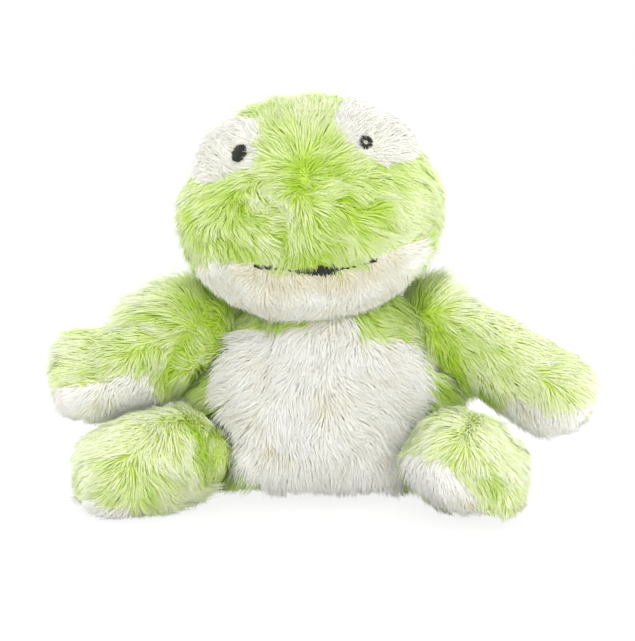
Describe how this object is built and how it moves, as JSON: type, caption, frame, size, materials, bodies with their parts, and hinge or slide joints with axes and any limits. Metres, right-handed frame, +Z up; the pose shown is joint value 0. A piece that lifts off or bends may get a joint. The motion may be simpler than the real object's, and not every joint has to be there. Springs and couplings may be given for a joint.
{
  "type": "plush frog",
  "caption": "Seated plush frog of green and white pile fabric with a weighted seat; its head turns and nods, its arms lift and its legs swing.",
  "frame": {"origin": "on the surface that the toy sits on, under the middle of its whole outline", "axes": "+Z up, -Y the way the frog faces, +X to its own left"},
  "size_m": [0.3072, 0.169, 0.2207],
  "materials": {
    "green_pile_fabric": "long brushed polyester pile, matt with a soft sheen",
    "white_pile_fabric": "long brushed polyester pile, matt with a soft sheen",
    "polyester_wadding": "loose fibre, matt",
    "cotton_cloth": "plain woven, matt",
    "black_thread": "satin stitch, slightly shiny"
  },
  "bodies": {
    "body": {"body_cover": "green_pile_fabric", "belly_panel": "white_pile_fabric", "body_filling": "polyester_wadding", "seat_bean_bag": "cotton_cloth"},
    "neck": {"neck_gusset": "cotton_cloth"},
    "head": {"head_cover": "green_pile_fabric", "chin_panel": "white_pile_fabric", "head_filling": "polyester_wadding", "eye_patch_left": "white_pile_fabric", "eye_patch_right": "white_pile_fabric", "eye_left": "black_thread", "eye_right": "black_thread", "mouth_stitching": "black_thread"},
    "arm_left": {"arm_left_cover": "green_pile_fabric", "arm_left_palm": "white_pile_fabric", "arm_left_filling": "polyester_wadding"},
    "arm_right": {"arm_right_cover": "green_pile_fabric", "arm_right_palm": "white_pile_fabric", "arm_right_filling": "polyester_wadding"},
    "leg_left": {"leg_left_cover": "green_pile_fabric", "leg_left_sole": "white_pile_fabric", "leg_left_filling": "polyester_wadding"},
    "leg_right": {"leg_right_cover": "green_pile_fabric", "leg_right_sole": "white_pile_fabric", "leg_right_filling": "polyester_wadding"}
  },
  "joints": [
    {"name": "head_turn", "type": "hinge", "parent": "body", "child": "neck", "pos_m": [0.00159, 0.02449, 0.086], "axis": [0, 0, 1], "range_deg": [-20, 20], "stiffness_Nm_per_rad": 0.3},
    {"name": "head_nod", "type": "hinge", "parent": "neck", "child": "head", "pos_m": [0.00159, 0.02449, 0.086], "axis": [1, 0, 0], "range_deg": [-8, 12], "stiffness_Nm_per_rad": 1.2, "springref_deg": -1.72},
    {"name": "arm_left_lift", "type": "hinge", "parent": "body", "child": "arm_left", "pos_m": [0.07159, 0.02649, 0.088], "axis": [-0.309, -0.9511, 0], "range_deg": [0, 40], "stiffness_Nm_per_rad": 0.05},
    {"name": "arm_right_lift", "type": "hinge", "parent": "body", "child": "arm_right", "pos_m": [-0.06841, 0.02649, 0.088], "axis": [-0.309, 0.9511, 0], "range_deg": [0, 40], "stiffness_Nm_per_rad": 0.05},
    {"name": "leg_left_swing", "type": "hinge", "parent": "body", "child": "leg_left", "pos_m": [0.06359, -0.00751, 0.0285], "axis": [0, 0, 1], "range_deg": [-15, 20], "stiffness_Nm_per_rad": 0.1},
    {"name": "leg_right_swing", "type": "hinge", "parent": "body", "child": "leg_right", "pos_m": [-0.06041, -0.00751, 0.0285], "axis": [0, 0, 1], "range_deg": [0, 40], "stiffness_Nm_per_rad": 0.1}
  ]
}
